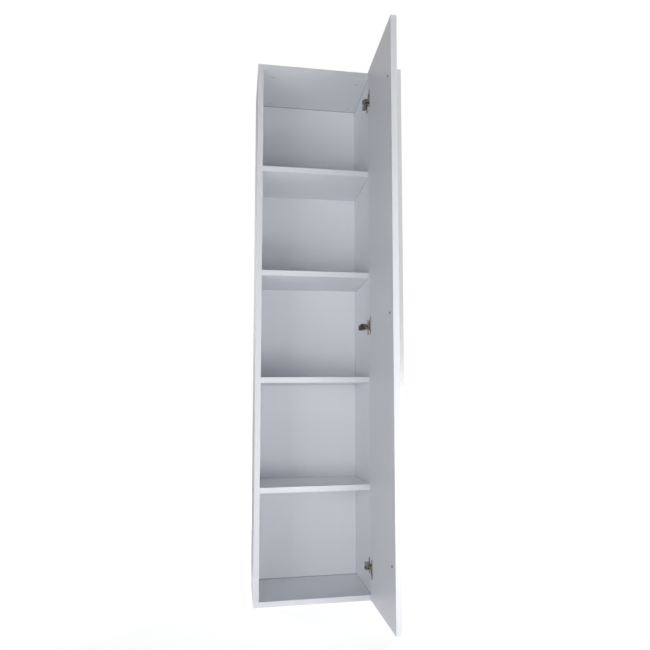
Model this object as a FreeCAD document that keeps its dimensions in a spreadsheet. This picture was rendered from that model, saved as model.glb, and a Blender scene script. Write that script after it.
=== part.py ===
import FreeCAD, Part
import math
import os
import re

import Sketcher

# A tall broom cupboard of coated board: two sides, a top and a bottom held between them by cam
# fittings and dowels, a thin back in grooves, four shelves on hidden pins, and one door on three
# concealed cup hinges.  The door stands open at rest.
# Axes: +X to the right seen from the front, +Y to the back, +Z up.  Origin: the middle of the
# cupboard's footprint, on the floor.

Vector = FreeCAD.Vector
Placement = FreeCAD.Placement
Rotation = FreeCAD.Rotation

SIZES = {
    # carcass
    "case_height": 1800,
    "case_width": 400,
    "case_depth": 330,
    "side_board": 18,
    "top_board": 18,
    "bottom_board": 18,
    "back_board": 3,
    "back_inset": 12,
    "groove_depth": 6,
    "groove_play": 0.15,
    # shelves
    "shelf_board": 18,
    "shelf_setback": 2,
    "shelf_back_gap": 0.5,
    "shelf_pin_diameter": 5,
    "shelf_pin_length": 16,
    "shelf_pin_front": 50,
    "shelf_pin_back": 60,
    # panel fittings
    "cam_front": 60,
    "cam_back": 45,
    "cam_from_end": 34,
    "cam_diameter": 15,
    "cam_height": 12.5,
    "cam_slot": 7.6,
    "cam_cap_diameter": 17,
    "cam_cap_thickness": 0.6,
    "cam_bolt_diameter": 6,
    "cam_bolt_head": 7,
    "cam_bolt_head_length": 3,
    "cam_bolt_anchor": 11,
    "dowel_diameter": 8,
    "dowel_length": 30,
    "dowel_anchor": 10,
    "dowel_offset": 32,
    # door
    "door_board": 18,
    "door_side_reveal": 1,
    "door_head_reveal": 2,
    "door_floor_gap": 3,
    "door_gap": 2,
    "open_angle": 90,
    # handle
    "handle_length": 1482,
    "handle_middle": 904,
    "handle_from_edge": 33,
    "handle_width": 24,
    "handle_reach": 19,
    "handle_lip": 16,
    "handle_wall": 2,
    "handle_screw_end": 19,
    "handle_screw_diameter": 4,
    "handle_screw_head": 8,
    "handle_screw_head_height": 2.2,
    # hinge cups
    "hinge_from_end": 106,
    "hinge_middle": 903,
    "cup_edge": 3,
    "cup_diameter": 35,
    "cup_depth": 13,
    "cup_wall": 1,
    "flange_length": 62,
    "flange_width": 19,
    "flange_thickness": 1.2,
    "cup_screw_spacing": 48,
    "cup_screw_offset": 6,
    "cup_screw_diameter": 3.5,
    "cup_screw_head": 6.6,
    "cup_screw_head_height": 0.8,
    "cup_screw_length": 12,
    # hinge plates on the right side panel
    "plate_from_front": 37,
    "plate_height": 53,
    "plate_width": 13,
    "plate_thickness": 2,
    "spine_front": 16,
    "spine_back": 60,
    "spine_height": 9.6,
    "plate_screw_spacing": 32,
    "plate_screw_diameter": 5,
    "plate_screw_head": 8,
    "plate_screw_head_height": 1.6,
    "plate_screw_length": 12,
    # hinge arms and links
    "arm_height": 12.8,
    "arm_sheet": 1.2,
    "arm_rise": 13.5,
    "arm_foot": 2.6,
    "arm_back": 62,
    "arm_shoulder": 18,
    "arm_nose_rise": 22.8,
    "arm_nose_play": 0.3,
    "arm_screw_diameter": 5,
    "arm_screw_head": 8,
    "arm_screw_head_height": 2,
    "arm_screw_front": 26,
    "arm_screw_back": 48,
    "pin_diameter": 2.5,
    "pin_play": 0.05,
    "arm_pivot_inset": 16,
    "arm_pivot_reach": 11,
    "arm_far_pivot_inset": 19.3,
    "arm_far_pivot_back": 3.6,
    "cup_pivot_edge": 12.5,
    "cup_pivot_depth": 7,
    "cup_far_pivot_edge": 9.9,
    "cup_far_pivot_depth": 2.8,
    "link_turn": 0.38,
    "link_height": 10,
    "link_cheek": 1.1,
    "link_eye": 3.9,
    "link_waist": 2.2,
    "link_crank": 3,
    "link_crank_reach": 5.5,
    "inner_link_height": 7,
    "inner_link_turn": 0.4,
    "inner_link_waist": 2.4,
    "inner_link_bend": 21.8,
    "inner_link_crank": 2.4,
    "inner_link_short": 4.2,
    # soft-close damper on the middle hinge
    "damper_length": 61.5,
    "damper_height": 17.5,
    "damper_thickness": 15.5,
    "damper_round": 3,
    "damper_nose_play": 0.3,
    "damper_plunger": 4,
    "damper_plunger_inset": 3,
    "damper_plunger_reach": 0.8,
    "damper_screw_play": 0.3,
    "damper_clip_length": 43,
    "damper_clip_thickness": 1,
    "damper_clip_grip": 5,
    "damper_clip_wall": 12,
}

SHELVES = ("shelf_1", "shelf_2", "shelf_3", "shelf_4")
HINGES = ("bottom", "middle", "top")

doc = FreeCAD.newDocument("broom_cupboard")
sheet = doc.addObject("Spreadsheet::Sheet", "sizes")
for row, (alias, number) in enumerate(SIZES.items(), start=1):
    sheet.set(f"A{row}", alias)
    sheet.set(f"B{row}", str(number))
    sheet.setAlias(f"B{row}", alias)
doc.recompute()

NODES = []


def bound(expression):
    """The expression with each size's name made a reference to its cell in the sheet."""
    return re.sub(r"[a-z_]{3,}", lambda found: "sizes." + found.group(0), expression)


def value(expression):
    """The number that an expression of size names gives, in millimetres or degrees."""
    return float(sheet.evalExpression(bound(expression)))


# ---------------------------------------------------------------- sketches and features


def new_body(label):
    body = doc.addObject("PartDesign::Body", label)
    body.Label = label
    return body


def keep(body, placement):
    """Places a finished body in the cupboard and lists it as a node."""
    body.Placement = placement
    NODES.append(body)
    return body


def new_sketch(body, name, role="XY_Plane", lift=None):
    """A sketch on one of the body's own planes, lifted along the plane's normal."""
    sketch = body.newObject("Sketcher::SketchObject", f"{body.Label}_{name}")
    plane = next(feature for feature in body.Origin.OriginFeatures if feature.Role == role)
    sketch.AttachmentSupport = [(plane, "")]
    sketch.MapMode = "FlatFace"
    if lift is not None:
        sketch.setExpression("AttachmentOffset.Base.z", bound(lift))
    return sketch


def bind(sketch, kind, *where, expression):
    """Adds a dimension to a sketch and ties it to the sheet."""
    index = sketch.addConstraint(Sketcher.Constraint(kind, *where, value(expression)))
    sketch.setExpression(f"Constraints[{index}]", bound(expression))


def outline(sketch, corners):
    """A closed run of straight edges through corners given as pairs of expressions."""
    points = [Vector(value(x), value(y), 0) for x, y in corners]
    count = len(points)
    edges = [
        sketch.addGeometry(Part.LineSegment(points[i], points[(i + 1) % count]), False)
        for i in range(count)
    ]
    for i in range(count):
        sketch.addConstraint(Sketcher.Constraint("Coincident", edges[i], 2, edges[(i + 1) % count], 1))
        bind(sketch, "DistanceX", -1, 1, edges[i], 1, expression=corners[i][0])
        bind(sketch, "DistanceY", -1, 1, edges[i], 1, expression=corners[i][1])


def rectangle(sketch, x_low, y_low, x_high, y_high):
    outline(sketch, [(x_low, y_low), (x_high, y_low), (x_high, y_high), (x_low, y_high)])


def circles(sketch, centres, diameter):
    """Circles of one diameter at centres given as pairs of expressions."""
    for x, y in centres:
        centre = Vector(value(x), value(y), 0)
        circle = Part.Circle(centre, Vector(0, 0, 1), value(diameter) / 2)
        index = sketch.addGeometry(circle, False)
        bind(sketch, "DistanceX", -1, 1, index, 3, expression=x)
        bind(sketch, "DistanceY", -1, 1, index, 3, expression=y)
        bind(sketch, "Diameter", index, expression=diameter)


def pad(body, sketch, length, reverse=False, both_ways=False):
    feature = body.newObject("PartDesign::Pad", f"{sketch.Name}_pad")
    feature.Profile = sketch
    feature.setExpression("Length", bound(length))
    feature.Reversed = reverse
    feature.Midplane = both_ways
    return feature


def pocket(body, sketch, length, reverse=False, both_ways=False):
    """Cuts a sketch out of the body, and makes sure that it did cut."""
    doc.recompute()
    before = body.Shape.Volume
    feature = body.newObject("PartDesign::Pocket", f"{sketch.Name}_pocket")
    feature.Profile = sketch
    feature.setExpression("Length", bound(length))
    feature.Reversed = reverse
    feature.Midplane = both_ways
    doc.recompute()
    if not body.Shape.Volume < before:
        raise RuntimeError(f"{sketch.Name} cuts nothing")
    return feature


def rounded(body, feature, radius):
    """Rounds all edges of a pad but those of its lowest face."""
    doc.recompute()
    floor = feature.Shape.BoundBox.ZMin
    names = [
        f"Edge{number}"
        for number, edge in enumerate(feature.Shape.Edges, start=1)
        if edge.BoundBox.ZMax > floor + 0.01
    ]
    fillet = body.newObject("PartDesign::Fillet", f"{feature.Name}_round")
    fillet.Base = (feature, names)
    fillet.setExpression("Radius", bound(radius))
    return fillet


def turned(body, name, corners):
    """A solid of revolution about the body's Z axis, from a profile of (radius, height)."""
    sketch = new_sketch(body, name, "XZ_Plane")
    outline(sketch, corners)
    feature = body.newObject("PartDesign::Revolution", f"{sketch.Name}_turn")
    feature.Profile = sketch
    feature.ReferenceAxis = (sketch, ["V_Axis"])
    feature.Angle = 360
    return feature


def group(label, solids):
    """Identical loose pieces as one node of separate solids."""
    node = doc.addObject("Part::Feature", label)
    node.Label = label
    node.Shape = Part.makeCompound(solids)
    NODES.append(node)
    return node


def copies(body, placements):
    """The body's solid, once at each placement."""
    doc.recompute()
    solids = []
    for placement in placements:
        solid = body.Shape.copy()
        solid.Placement = placement
        solids.append(solid)
    return solids


# ---------------------------------------------------------------- places in the cupboard

HALF_WIDTH = value("case_width") / 2
FRONT = -value("case_depth") / 2
BACK = value("case_depth") / 2
RIGHT_FACE = HALF_WIDTH - value("side_board")
INNER_WIDTH = "(case_width - 2 * side_board)"
INNER_HEIGHT = "(case_height - top_board - bottom_board)"
BAY_HEIGHT = f"({INNER_HEIGHT} - 4 * shelf_board) / 5"

# Board frames: local x and y lie in the board, local z points to its inner face.
LEFT_BOARD = Rotation(Vector(0, 1, 0), Vector(0, 0, 1), Vector(1, 0, 0))
RIGHT_BOARD = Rotation(Vector(0, -1, 0), Vector(0, 0, 1), Vector(-1, 0, 0))
TOP_BOARD = Rotation(Vector(1, 0, 0), Vector(0, -1, 0), Vector(0, 0, -1))
UPRIGHT = Rotation(Vector(1, 0, 0), Vector(0, 1, 0), Vector(0, 0, 1))
ALONG_LEFT = Rotation(Vector(0, 0, 1), Vector(-1, 0, 0))
ALONG_RIGHT = Rotation(Vector(0, 0, 1), Vector(1, 0, 0))

CAM_DEPTHS = ("cam_front", "case_depth - cam_back")
DOWEL_DEPTHS = ("cam_front + dowel_offset", "case_depth - cam_back - dowel_offset")
PIN_DEPTHS = ("shelf_pin_front", "case_depth - shelf_pin_back")
HINGE_HEIGHTS = ("hinge_from_end", "hinge_middle", "case_height - hinge_from_end")


def shelf_bottom(index):
    """Height of the underside of a shelf, counted from 1 at the bottom."""
    return f"(bottom_board + {index} * {BAY_HEIGHT} + {index - 1} * shelf_board)"


# ---------------------------------------------------------------- carcass boards


def side_panel(label, rotation, origin, depth_of):
    """A side: depth_of turns a distance from the front into the board's own x."""
    body = new_body(label)
    face = new_sketch(body, "face")
    rectangle(face, "0", "0", "case_depth", "case_height")
    pad(body, face, "side_board")

    groove = new_sketch(body, "groove", lift="side_board")
    rear = depth_of("case_depth - back_inset + groove_play")
    front = depth_of("case_depth - back_inset - back_board - groove_play")
    rectangle(groove, front, "0", rear, "case_height")
    pocket(body, groove, "groove_depth")

    ends = ("bottom_board / 2", "case_height - top_board / 2")
    bolts = new_sketch(body, "bolt_bores", lift="side_board")
    circles(bolts, [(depth_of(d), h) for d in CAM_DEPTHS for h in ends], "cam_bolt_diameter")
    pocket(body, bolts, "cam_bolt_anchor")

    dowels = new_sketch(body, "dowel_bores", lift="side_board")
    circles(dowels, [(depth_of(d), h) for d in DOWEL_DEPTHS for h in ends], "dowel_diameter")
    pocket(body, dowels, "dowel_anchor")

    pins = new_sketch(body, "shelf_bores", lift="side_board")
    middles = [f"{shelf_bottom(i)} + shelf_board / 2" for i in range(1, len(SHELVES) + 1)]
    circles(pins, [(depth_of(d), h) for d in PIN_DEPTHS for h in middles], "shelf_pin_diameter")
    pocket(body, pins, "shelf_pin_length / 2")
    return keep(body, Placement(origin, rotation))


side_panel("left_side_panel", LEFT_BOARD, Vector(-HALF_WIDTH, FRONT, 0), lambda depth: depth)
right_side = side_panel(
    "right_side_panel", RIGHT_BOARD, Vector(HALF_WIDTH, BACK, 0), lambda depth: f"case_depth - ({depth})"
)
plate_bores = new_sketch(right_side, "plate_bores", lift="side_board")
circles(
    plate_bores,
    [
        ("case_depth - plate_from_front", f"{height} {sign} plate_screw_spacing / 2")
        for height in HINGE_HEIGHTS
        for sign in "+-"
    ],
    "plate_screw_diameter",
)
pocket(right_side, plate_bores, "plate_screw_length - plate_thickness")


def end_panel(label, board, cams_on_inner_face):
    """The top or the bottom: between the sides, cams let into one face, bolts into the ends."""
    body = new_body(label)
    face = new_sketch(body, "face")
    rectangle(face, "0", "0", INNER_WIDTH, "case_depth")
    pad(body, face, board)

    groove = new_sketch(body, "groove", lift=board)
    rectangle(groove, "0", GROOVE_REAR[label][0], INNER_WIDTH, GROOVE_REAR[label][1])
    pocket(body, groove, "groove_depth")

    cam_x = ("cam_from_end", f"{INNER_WIDTH} - cam_from_end")
    cam_y = [END_DEPTH[label](depth) for depth in CAM_DEPTHS]
    dowel_y = [END_DEPTH[label](depth) for depth in DOWEL_DEPTHS]
    cams = new_sketch(body, "cam_bores", lift=board if cams_on_inner_face else None)
    circles(cams, [(x, y) for x in cam_x for y in cam_y], "cam_diameter")
    pocket(body, cams, "cam_height", reverse=not cams_on_inner_face)

    for end, lift in (("left", None), ("right", INNER_WIDTH)):
        bolts = new_sketch(body, f"{end}_bolt_bores", "YZ_Plane", lift)
        circles(bolts, [(y, f"{board} / 2") for y in cam_y], "cam_bolt_head + 0.5")
        pocket(body, bolts, "cam_from_end - cam_diameter / 4", reverse=lift is None)
        dowels = new_sketch(body, f"{end}_dowel_bores", "YZ_Plane", lift)
        circles(dowels, [(y, f"{board} / 2") for y in dowel_y], "dowel_diameter")
        pocket(body, dowels, "dowel_length - dowel_anchor", reverse=lift is None)
    return body


# The bottom is drawn from the front and the top from the back, because each shows its inner face.
GROOVE_REAR = {
    "bottom_panel": (
        "case_depth - back_inset - back_board - groove_play",
        "case_depth - back_inset + groove_play",
    ),
    "top_panel": ("back_inset - groove_play", "back_inset + back_board + groove_play"),
}
END_DEPTH = {
    "bottom_panel": lambda depth: depth,
    "top_panel": lambda depth: f"case_depth - ({depth})",
}
keep(
    end_panel("bottom_panel", "bottom_board", cams_on_inner_face=False),
    Placement(Vector(-RIGHT_FACE, FRONT, 0), UPRIGHT),
)
keep(
    end_panel("top_panel", "top_board", cams_on_inner_face=True),
    Placement(Vector(-RIGHT_FACE, BACK, value("case_height")), TOP_BOARD),
)

back = new_body("back_panel")
back_face = new_sketch(back, "face", "XZ_Plane")
rectangle(
    back_face,
    "0",
    "0",
    f"{INNER_WIDTH} + 2 * (groove_depth - groove_play)",
    f"{INNER_HEIGHT} + 2 * (groove_depth - groove_play)",
)
pad(back, back_face, "back_board", reverse=True)
keep(
    back,
    Placement(
        Vector(
            value(f"-{INNER_WIDTH} / 2 - groove_depth + groove_play"),
            BACK - value("back_inset + back_board"),
            value("bottom_board - groove_depth + groove_play"),
        ),
        UPRIGHT,
    ),
)

for number, label in enumerate(SHELVES, start=1):
    shelf = new_body(label)
    shelf_face = new_sketch(shelf, "face")
    rectangle(
        shelf_face,
        "0",
        "shelf_setback",
        INNER_WIDTH,
        "case_depth - back_inset - back_board - shelf_back_gap",
    )
    pad(shelf, shelf_face, "shelf_board")
    for end, lift in (("left", None), ("right", INNER_WIDTH)):
        pin_bores = new_sketch(shelf, f"{end}_pin_bores", "YZ_Plane", lift)
        circles(pin_bores, [(depth, "shelf_board / 2") for depth in PIN_DEPTHS], "shelf_pin_diameter")
        pocket(shelf, pin_bores, "shelf_pin_length / 2", reverse=lift is None)
    keep(shelf, Placement(Vector(-RIGHT_FACE, FRONT, value(shelf_bottom(number))), UPRIGHT))


# ---------------------------------------------------------------- panel fittings


def fitting_places(depths, heights, from_side):
    """Places on both sides of the carcass; local +z points from the board's middle to the side."""
    return [
        Placement(Vector(sign * (RIGHT_FACE - from_side), FRONT + value(depth), value(height)), rotation)
        for depth in depths
        for height in heights
        for sign, rotation in ((-1, ALONG_LEFT), (1, ALONG_RIGHT))
    ]


END_MIDDLES = ("bottom_board / 2", "case_height - top_board / 2")

shelf_pin = new_body("shelf_pin")
turned(
    shelf_pin,
    "profile",
    [
        ("0", "-shelf_pin_length / 2"),
        ("shelf_pin_diameter / 2", "-shelf_pin_length / 2"),
        ("shelf_pin_diameter / 2", "shelf_pin_length / 2"),
        ("0", "shelf_pin_length / 2"),
    ],
)
SHELF_MIDDLES = [f"{shelf_bottom(i)} + shelf_board / 2" for i in range(1, len(SHELVES) + 1)]
group("shelf_pins", copies(shelf_pin, fitting_places(PIN_DEPTHS, SHELF_MIDDLES, 0)))

dowel = new_body("dowel")
turned(
    dowel,
    "profile",
    [
        ("0", "dowel_anchor - dowel_length"),
        ("dowel_diameter / 2", "dowel_anchor - dowel_length"),
        ("dowel_diameter / 2", "dowel_anchor"),
        ("0", "dowel_anchor"),
    ],
)
group("wood_dowels", copies(dowel, fitting_places(DOWEL_DEPTHS, END_MIDDLES, 0)))

bolt = new_body("cam_bolt")
turned(
    bolt,
    "profile",
    [
        ("0", "cam_bolt_head_length - cam_from_end"),
        ("cam_bolt_head / 2", "cam_bolt_head_length - cam_from_end"),
        ("cam_bolt_head / 2", "2 * cam_bolt_head_length - cam_from_end"),
        ("cam_bolt_diameter / 4", "2 * cam_bolt_head_length - cam_from_end"),
        ("cam_bolt_diameter / 4", "cam_diameter / 2 - cam_from_end"),
        ("cam_bolt_diameter / 2", "cam_diameter / 2 - cam_from_end"),
        ("cam_bolt_diameter / 2", "cam_bolt_anchor"),
        ("0", "cam_bolt_anchor"),
    ],
)
group("cam_bolts", copies(bolt, fitting_places(CAM_DEPTHS, END_MIDDLES, 0)))

# A cam is a short drum with a mouth that takes the bolt's head from the side and a slit for its neck.
cam = new_body("cam")
turned(
    cam,
    "profile",
    [("0", "0"), ("cam_diameter / 2", "0"), ("cam_diameter / 2", "cam_height"), ("0", "cam_height")],
)
mouth = new_sketch(cam, "mouth", "YZ_Plane", lift="cam_diameter / 2")
circles(mouth, [("0", "cam_height - top_board / 2")], "cam_slot")
pocket(cam, mouth, "cam_diameter / 2 + cam_bolt_head_length + 1")


def cam_places(height):
    """Cams of one end panel: local z points down out of the panel, local x to the side panel."""
    return [
        Placement(
            Vector(
                sign * (RIGHT_FACE - value("cam_from_end")),
                FRONT + value(depth),
                value(f"{height} + cam_height"),
            ),
            Rotation(Vector(sign, 0, 0), Vector(0, -sign, 0), Vector(0, 0, -1)),
        )
        for depth in CAM_DEPTHS
        for sign in (-1, 1)
    ]


TOP_UNDERSIDE = "case_height - top_board"
group("cam_housings", copies(cam, cam_places(TOP_UNDERSIDE) + cam_places("0")))

cap = new_body("cam_cap")
turned(
    cap,
    "profile",
    [
        ("0", "-cam_cap_thickness"),
        ("cam_cap_diameter / 2 - cam_cap_thickness / 2", "-cam_cap_thickness"),
        ("cam_cap_diameter / 2", "0"),
        ("0", "0"),
    ],
)
group(
    "cam_caps",
    copies(
        cap,
        [
            Placement(Vector(place.Base.x, place.Base.y, value(TOP_UNDERSIDE)), UPRIGHT)
            for place in cam_places(TOP_UNDERSIDE)
        ],
    ),
)

# ---------------------------------------------------------------- how the door hangs
#
# Seen from above, each hinge's outer link turns on a pin in the arm (the arm pivot) and carries the
# door on a pin in the cup (the cup pivot).  While the door turns by some angle the link turns back
# by link_turn times that angle, which brings the door clear of the side panel's edge.


def turn(angle):
    return Rotation(Vector(0, 0, 1), angle)


OPEN = value("open_angle")
ARM_PIVOT = Vector(RIGHT_FACE - value("arm_pivot_inset"), FRONT - value("arm_pivot_reach"), 0)
CLOSED_CORNER = Vector(HALF_WIDTH - value("door_side_reveal"), FRONT - value("door_gap"), 0)
CLOSED_CUP_PIVOT = CLOSED_CORNER - Vector(value("cup_pivot_edge"), value("cup_pivot_depth"), 0)
CLOSED_LINK = CLOSED_CUP_PIVOT - ARM_PIVOT
LINK_LENGTH = CLOSED_LINK.Length
LINK_ANGLE = math.degrees(math.atan2(CLOSED_LINK.y, CLOSED_LINK.x)) - value("link_turn") * OPEN
CUP_PIVOT = ARM_PIVOT + turn(LINK_ANGLE).multVec(Vector(LINK_LENGTH, 0, 0))

# Door frame: origin at the hinge edge's inner corner on the floor, x along the door away from the
# hinges, y into the board from its inner face, z up.
DOOR = Placement(
    CUP_PIVOT + turn(OPEN).multVec(CLOSED_CORNER - CLOSED_CUP_PIVOT),
    turn(180 + OPEN),
)


def on_door(x=0.0, y=0.0, z=0.0, rotation=Rotation()):
    return DOOR.multiply(Placement(Vector(x, y, z), rotation))


DOOR_WIDTH = "(case_width - 2 * door_side_reveal)"
CUP_CENTRE = "(cup_edge + cup_diameter / 2)"
HANDLE_X = f"({DOOR_WIDTH} - handle_from_edge - handle_width)"
HANDLE_SCREW_X = f"({HANDLE_X} + handle_width / 2)"
HANDLE_SCREW_PITCH = "(handle_length / 2 - handle_screw_end)"
HANDLE_SCREW_HEIGHTS = [f"handle_middle + {step} * {HANDLE_SCREW_PITCH}" for step in (-1, 0, 1)]

# ---------------------------------------------------------------- door and handle

door = new_body("door_panel")
door_face = new_sketch(door, "face", "XZ_Plane")
rectangle(door_face, "0", "door_floor_gap", DOOR_WIDTH, "case_height - door_head_reveal")
pad(door, door_face, "door_board", reverse=True)
cup_bores = new_sketch(door, "cup_bores", "XZ_Plane")
circles(cup_bores, [(CUP_CENTRE, height) for height in HINGE_HEIGHTS], "cup_diameter")
pocket(door, cup_bores, "cup_depth", reverse=False)
cup_screw_bores = new_sketch(door, "cup_screw_bores", "XZ_Plane")
CUP_SCREWS = [
    (f"{CUP_CENTRE} + cup_screw_offset", f"{height} {sign} cup_screw_spacing / 2")
    for height in HINGE_HEIGHTS
    for sign in "+-"
]
circles(cup_screw_bores, CUP_SCREWS, "cup_screw_diameter")
pocket(door, cup_screw_bores, "cup_screw_length - flange_thickness", reverse=False)
handle_bores = new_sketch(door, "handle_bores", "XZ_Plane")
circles(handle_bores, [(HANDLE_SCREW_X, height) for height in HANDLE_SCREW_HEIGHTS], "handle_screw_diameter")
pocket(door, handle_bores, "door_board", reverse=False)
keep(door, on_door())

# The handle is a channel open towards the hinges: a foot on the door, a web along the free edge
# and a lip to pull on.
handle = new_body("handle")
handle_section = new_sketch(handle, "section")
outline(
    handle_section,
    [
        ("0", "0"),
        ("handle_width", "0"),
        ("handle_width", "handle_reach"),
        ("handle_width - handle_lip", "handle_reach"),
        ("handle_width - handle_lip", "handle_reach - handle_wall"),
        ("handle_width - handle_wall", "handle_reach - handle_wall"),
        ("handle_width - handle_wall", "handle_wall"),
        ("0", "handle_wall"),
    ],
)
pad(handle, handle_section, "handle_length")
handle_taps = new_sketch(handle, "screw_bores", "XZ_Plane")
circles(
    handle_taps,
    [("handle_width / 2", f"handle_length / 2 + {step} * {HANDLE_SCREW_PITCH}") for step in (-1, 0, 1)],
    "handle_screw_diameter",
)
pocket(handle, handle_taps, "handle_wall", reverse=False)
keep(
    handle,
    on_door(value(HANDLE_X), value("door_board"), value("handle_middle - handle_length / 2")),
)

OUT_OF_FACE = Rotation(Vector(0, 0, 1), Vector(0, -1, 0))


def screw(name, diameter, head, head_height, length):
    """A screw along local z: the head's underside at 0, the head above it, the shank below."""
    body = new_body(name)
    turned(
        body,
        "profile",
        [
            ("0", f"-({length})"),
            (f"{diameter} / 2", f"-({length})"),
            (f"{diameter} / 2", "0"),
            (f"{head} / 2", "0"),
            (f"{head} / 2", f"{head_height} / 2"),
            (f"{head} / 2 - {head_height} / 2", head_height),
            ("0", head_height),
        ],
    )
    return body


handle_screw = screw(
    "handle_screw",
    "handle_screw_diameter",
    "handle_screw_head",
    "handle_screw_head_height",
    "door_board + handle_wall",
)
group(
    "handle_screws",
    copies(
        handle_screw,
        [on_door(value(HANDLE_SCREW_X), 0, value(height), OUT_OF_FACE) for height in HANDLE_SCREW_HEIGHTS],
    ),
)

# ---------------------------------------------------------------- hinges


def hinge_cup(label, height):
    """The cup let into the door, with its flange on the inner face; drawn in the door frame."""
    body = new_body(label)
    flange = new_sketch(body, "flange", "XZ_Plane")
    flange_middle = f"{CUP_CENTRE} + cup_screw_offset"
    end_lift = "(flange_length - flange_width) / 2"
    rectangle(
        flange,
        f"{flange_middle} - flange_width / 2",
        f"-{end_lift}",
        f"{flange_middle} + flange_width / 2",
        end_lift,
    )
    pad(body, flange, "flange_thickness")
    flange_ends = new_sketch(body, "flange_ends", "XZ_Plane")
    circles(flange_ends, [(flange_middle, f"{sign}{end_lift}") for sign in ("", "-")], "flange_width")
    pad(body, flange_ends, "flange_thickness")
    rim = new_sketch(body, "rim", "XZ_Plane")
    circles(rim, [(CUP_CENTRE, "0")], "cup_diameter")
    pad(body, rim, "flange_thickness")
    barrel = new_sketch(body, "barrel", "XZ_Plane")
    circles(barrel, [(CUP_CENTRE, "0")], "cup_diameter")
    pad(body, barrel, "cup_depth", reverse=True)
    hollow = new_sketch(body, "hollow", "XZ_Plane", lift="flange_thickness")
    circles(hollow, [(CUP_CENTRE, "0")], "cup_diameter - 2 * cup_wall")
    pocket(body, hollow, "flange_thickness + cup_depth - cup_wall", reverse=False)
    holes = new_sketch(body, "screw_holes", "XZ_Plane", lift="flange_thickness")
    circles(
        holes,
        [(flange_middle, f"{sign}cup_screw_spacing / 2") for sign in ("", "-")],
        "cup_screw_diameter",
    )
    pocket(body, holes, "flange_thickness")
    pins = new_sketch(body, "pin_holes", "XY_Plane")
    circles(
        pins,
        [("cup_pivot_edge", "cup_pivot_depth"), ("cup_far_pivot_edge", "cup_far_pivot_depth")],
        "pin_diameter",
    )
    pocket(body, pins, "cup_diameter", both_ways=True)
    return keep(body, on_door(z=value(height)))


# Plate frame: origin on the right side panel's inner face at the plate's screws, x forwards,
# y up, z out into the cupboard.
INTO_CASE = Rotation(Vector(0, -1, 0), Vector(0, 0, 1), Vector(-1, 0, 0))


def on_plate(height, x=0.0, y=0.0, z=0.0):
    origin = Vector(RIGHT_FACE, FRONT + value("plate_from_front"), value(height))
    return Placement(origin, INTO_CASE).multiply(Placement(Vector(x, y, z), Rotation()))


ARM_SCREWS = [("plate_from_front - arm_screw_front", "0"), ("plate_from_front - arm_screw_back", "0")]


def mounting_plate(label, height):
    """A cross-shaped plate: two screwed wings and a raised spine that carries the arm."""
    body = new_body(label)
    wings = new_sketch(body, "wings")
    tip = "(plate_height - plate_width) / 2"
    rectangle(wings, "-plate_width / 2", f"-{tip}", "plate_width / 2", tip)
    pad(body, wings, "plate_thickness")
    wing_tips = new_sketch(body, "wing_tips")
    circles(wing_tips, [("0", f"{sign}{tip}") for sign in ("", "-")], "plate_width")
    pad(body, wing_tips, "plate_thickness")
    spine = new_sketch(body, "spine")
    rectangle(
        spine,
        "plate_from_front - spine_back",
        "-spine_height / 2",
        "plate_from_front - spine_front",
        "spine_height / 2",
    )
    pad(body, spine, "arm_rise - arm_sheet")
    holes = new_sketch(body, "screw_holes", lift="plate_thickness")
    circles(holes, [("0", f"{sign}plate_screw_spacing / 2") for sign in ("", "-")], "plate_screw_diameter")
    pocket(body, holes, "plate_thickness")
    taps = new_sketch(body, "arm_screw_holes", lift="arm_rise - arm_sheet")
    circles(taps, ARM_SCREWS, "arm_screw_diameter")
    pocket(body, taps, "arm_rise - arm_sheet - arm_foot")
    return keep(body, on_plate(height))


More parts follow.
